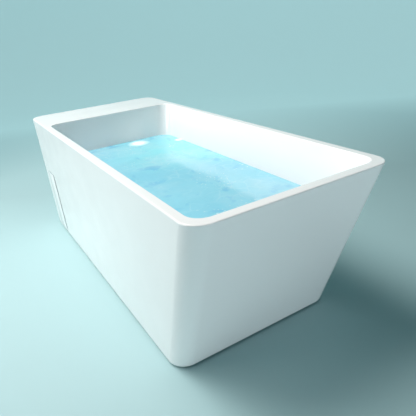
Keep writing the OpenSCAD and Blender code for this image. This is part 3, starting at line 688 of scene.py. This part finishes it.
def make_water():
    """The water's body, a hair clear of the bowl, and its rippled surface."""
    clearance = 0.0006
    surface_rings = 70
    edge_drop = 0.004        # height of the last straight strip below the surface
    crowding = 1.15          # above 1, the surface rings crowd towards the edge
    calm_width = 0.06        # share of the way in over which the ripples grow from nothing
    rings = [
        [(x, y, z + clearance) for x, y, z in bend_ring(1 - k / BEND_STEPS, -clearance)]
        for k in range(BEND_STEPS + 1)
    ]
    rings.append(basin_ring(WATER_Z - edge_drop, clearance))
    edge = basin_ring(WATER_Z, clearance)
    middle_x = sum(p[0] for p in edge) / len(edge)
    for k in range(surface_rings):
        share = 1 - (k / surface_rings) ** crowding
        ring = []
        for x, y, z in edge:
            px = middle_x + (x - middle_x) * share
            py = y * share
            strength = min(1.0, (1 - share) / calm_width)
            ring.append((px, py, z + ripple(px, py) * strength))
        rings.append(ring)
    n = len(edge)
    points = [p for ring in rings for p in ring]
    faces = [tuple(reversed(range(n)))]
    for i in range(len(rings) - 1):
        for k in range(n):
            m = (k + 1) % n
            faces.append((i * n + k, i * n + m, (i + 1) * n + m, (i + 1) * n + k))
    faces.append(tuple((len(rings) - 1) * n + k for k in range(n)))
    water = add_piece("bath_water", points, faces, 40.0)
    finish_piece(water, "water", "tub")


# ---------- chrome pieces ----------

def make_plug_cap():
    """Low domed cap with a rolled edge, turned in one piece."""
    low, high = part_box("plug_cap")
    radius = (high[0] - low[0]) / 2
    height = high[2] - low[2]
    roll = 0.0009            # radius of the rolled edge
    dome_r = radius - 0.0014
    dome_z = 0.0017
    profile = [(0, 0)] + arc(radius - roll, roll, roll, -90, 60, 8)
    for degrees in range(12, 90, 6):
        a = math.radians(degrees)
        profile.append((dome_r * math.cos(a), dome_z + (height - dome_z) * math.sin(a)))
    profile.append((0, height))
    cap = lathe("plug_cap_turned", profile, smooth_angle=50.0)
    place(cap, Matrix.Translation((DRAIN_X, 0, low[2])))
    finish_piece(cap, "chrome", "plug", "plug_cap")


def make_overflow_cover():
    """Round cover with a soft edge and three slots below its screw."""
    base = 0.0015
    outer = 0.036
    top = 0.009
    hole = 0.00305
    edge = 0.0035
    seat_z = top - 0.0003    # shallow seat for the screw's head, inside a faint lip
    seat_r = 0.0105
    slot_w, slot_h, slot_r = 0.032, 0.003, 0.0014
    first_slot_y = -0.012
    slot_pitch = 0.006
    smooth_angle = 40.0
    profile = [(hole, base), (outer, base)]
    profile += arc(outer - edge, top - edge, edge, 0, 90, 8)
    profile += [(0.012, top + 0.0001), (seat_r, seat_z), (hole, seat_z)]
    cover = lathe("overflow_cover_turned", profile, smooth_angle=smooth_angle)
    lay_flat = Matrix.Rotation(-math.pi / 2, 4, "X")
    slots = []
    for i in range(3):
        slot_cut = plate(f"slot_cut_{i}", slot_w, slot_h, slot_r, CUT_REACH, -CUT_REACH)
        place(slot_cut, Matrix.Translation((0, first_slot_y - slot_pitch * i, 0)) @ lay_flat)
        slots.append(slot_cut)
    cut_away(cover, slots)
    shade(cover, smooth_angle)
    place(cover, OVERFLOW_PLACE)
    finish_piece(cover, "chrome", "tub", "overflow_cover")


# ---------- overflow hose ----------

def overflow_point(y, z):
    """A point given in the overflow's own frame, where z points into the bowl."""
    return OVERFLOW_PLACE @ Vector((0, y, z))


# from the overflow's outlet down to the tee, with one point beyond each end to set the direction there
HOSE_ROUTE = [
    overflow_point(-0.025, -0.021),
    overflow_point(-0.0553, -0.021),
    overflow_point(-0.080, -0.021),
    Vector((0.388, 0.298, 0.360)),
    Vector((0.405, 0.292, 0.290)),
    Vector((0.430, 0.286, 0.210)),
    Vector((0.458, 0.272, 0.130)),
    Vector((0.478, 0.236, 0.074)),
    Vector((0.487, 0.180, 0.048)),
    Vector((0.490, 0.120, 0.045)),
    Vector((0.490, 0.084, 0.045)),
    Vector((0.490, 0.0623, 0.045)),
    Vector((0.490, 0.040, 0.045)),
]


def spline(route, steps):
    """Catmull-Rom curve through all but the first and last points of the route."""
    points = []
    for i in range(1, len(route) - 2):
        a, b, c, d = route[i - 1 : i + 3]
        for k in range(steps):
            t = k / steps
            square = (2 * a - 5 * b + 4 * c - d) * t**2
            cube = (3 * b - a - 3 * c + d) * t**3
            points.append(0.5 * (2 * b + (c - a) * t + square + cube))
    points.append(route[-2])
    return points


def make_hose():
    """Corrugated hose: a closed tube whose radius waves along its length."""
    crest = 0.0110
    root = 0.0094
    bore = 0.0080
    pitch = 0.0052
    fullness = 0.6           # below 1, the crests are wider than the grooves
    sides = 20
    path = spline(HOSE_ROUTE, 60)
    points = []
    travelled = 0.0
    for i, here in enumerate(path):
        before, after = path[max(i - 1, 0)], path[min(i + 1, len(path) - 1)]
        if i:
            travelled += (here - before).length
        direction = (after - before).normalized()
        across = direction.cross(Vector((1, 0, 0))).normalized()
        up = direction.cross(across)
        wave = 0.5 + 0.5 * math.sin(2 * math.pi * travelled / pitch)
        for radius in (root + (crest - root) * wave**fullness, bore):
            for k in range(sides):
                a = 2 * math.pi * k / sides
                points.append(here + (across * math.cos(a) + up * math.sin(a)) * radius)
    row = 2 * sides
    faces = []
    for i in range(len(path) - 1):
        outer, next_outer = i * row, (i + 1) * row
        inner, next_inner = outer + sides, next_outer + sides
        for k in range(sides):
            m = (k + 1) % sides
            faces.append((outer + k, outer + m, next_outer + m, next_outer + k))
            faces.append((inner + k, next_inner + k, next_inner + m, inner + m))
    last = (len(path) - 1) * row
    for k in range(sides):
        m = (k + 1) % sides
        faces.append((k, sides + k, sides + m, m))
        faces.append((last + k, last + m, last + sides + m, last + sides + k))
    hose = add_piece("overflow_hose_corrugated", points, faces, 60.0)
    finish_piece(hose, "hose_grey", "tub", "overflow_hose")


# ---------- hatch door ----------

def make_hatch_door():
    """Door panel with softened edges and its two hinge ears."""
    soft_edge = 0.0006
    pivot_x = DOOR_HALF_W - 0.016
    pivot_y = -0.008
    pin_hole_r = 0.00255
    ear_r = 0.005
    ear_low, ear_high = 0.140, 0.152
    panel = plate("panel", 2 * DOOR_HALF_W, 2 * DOOR_HALF_H, DOOR_CORNER_R, DOOR_PROUD, DOOR_BACK)
    bevel(panel, soft_edge)
    parts = [panel]
    for side in (1, -1):
        low, high = sorted((side * ear_low, side * ear_high))
        ear = lathe("ear", [(pin_hole_r, low), (ear_r, low), (ear_r, high), (pin_hole_r, high)], 40)
        place(ear, Matrix.Translation((pivot_x, pivot_y, 0)))
        web_low = (pivot_x - ear_r, pivot_y + pin_hole_r, low)
        web_high = (pivot_x + ear_r, DOOR_BACK, high)
        parts += [ear, box_mesh("web", web_low, web_high)]
    door = join(parts, "hatch_door_panel")
    place(door, HATCH_PLACE)
    shade(door)
    finish_piece(door, "acrylic", "hatch", "hatch_door")


def make_hatch_shade_strip():
    """Thin grey strip round the door panel's edge: painted shade for the door's shaded edge and gap, seen as
    the two grey lines of the hatch.
    """
    thick = 0.0007
    front = DOOR_PROUD - 0.0002
    width = 2 * (DOOR_HALF_W + thick)
    height = 2 * (DOOR_HALF_H + thick)
    band = plate("hatch_door_shade_strip", width, height, DOOR_CORNER_R + thick, front, DOOR_BACK)
    inside = plate("shade_strip_cut", 2 * DOOR_HALF_W, 2 * DOOR_HALF_H, DOOR_CORNER_R, CUT_REACH, -CUT_REACH)
    cut_away(band, [inside])
    place(band, HATCH_PLACE)
    shade(band)
    finish_piece(band, "seal", "hatch")
    # The strip's grey is painted shade: it stands for the shaded gap round the door.
    dress(band, "painted_shade")


# ---------- stage ----------

def make_stage():
    """A wide pale floor that curves up into the backdrop all round."""
    centre_r = 1.6
    flat_r = 4.0
    sweep_r = 1.5
    wall_top = 4.5
    steps = 96
    profile = [(centre_r, 0), (flat_r, 0)]
    profile += arc(flat_r, sweep_r, sweep_r, -90, 0, 20)[1:]
    profile += [(flat_r + sweep_r, wall_top)]
    points = []
    faces = []
    for radius, z in profile:
        for k in range(steps):
            a = 2 * math.pi * k / steps
            points.append((radius * math.cos(a), radius * math.sin(a), z))
    for i in range(len(profile) - 1):
        for k in range(steps):
            m = (k + 1) % steps
            faces.append((i * steps + k, i * steps + m, (i + 1) * steps + m, (i + 1) * steps + k))
    faces.append(tuple(range(steps)))
    stage = add_piece("studio_floor", points, faces, 60.0)
    stage.data.materials.append(floor_material())


def add_area_light(name, direction, distance, size, power, colour):
    """A soft rectangular lamp that shines at the middle of the bath from the given direction."""
    target = Vector((0.0, 0.0, 0.3))
    data = bpy.data.lights.new(name, "AREA")
    data.shape = "RECTANGLE"
    data.size, data.size_y = size
    data.energy = power
    data.color = colour
    light = bpy.data.objects.new(name, data)
    light.location = target + Vector(direction).normalized() * distance
    light.rotation_euler = (target - light.location).to_track_quat("-Z", "Y").to_euler()
    bpy.context.scene.collection.objects.link(light)


def make_lights():
    """A faint blue-green surround, and lamps above, along the left side and low at the raked end."""
    world = bpy.data.worlds.new("studio")
    world.use_nodes = True
    background = world.node_tree.nodes["Background"]
    background.inputs["Color"].default_value = (0.62, 0.88, 0.92, 1.0)
    background.inputs["Strength"].default_value = 0.05
    bpy.context.scene.world = world
    add_area_light("key", (0.17, 0.31, 0.90), 3.2, (1.7, 1.7), 112.0, (1.0, 0.965, 0.94))
    add_area_light("left", (0.34, 0.94, 0.30), 3.0, (2.0, 0.8), 41.0, (1.0, 0.945, 0.93))
    add_area_light("front", (-0.95, 0.00, -0.03), 3.6, (2.0, 0.24), 27.0, (0.90, 0.96, 1.0))
    bpy.context.scene.view_settings.view_transform = "Standard"


make_basin()
make_skirt()
make_water()
make_plug_cap()
make_overflow_cover()
make_hose()
make_hatch_door()
make_hatch_shade_strip()
dress_cad_nodes()
make_stage()
make_lights()
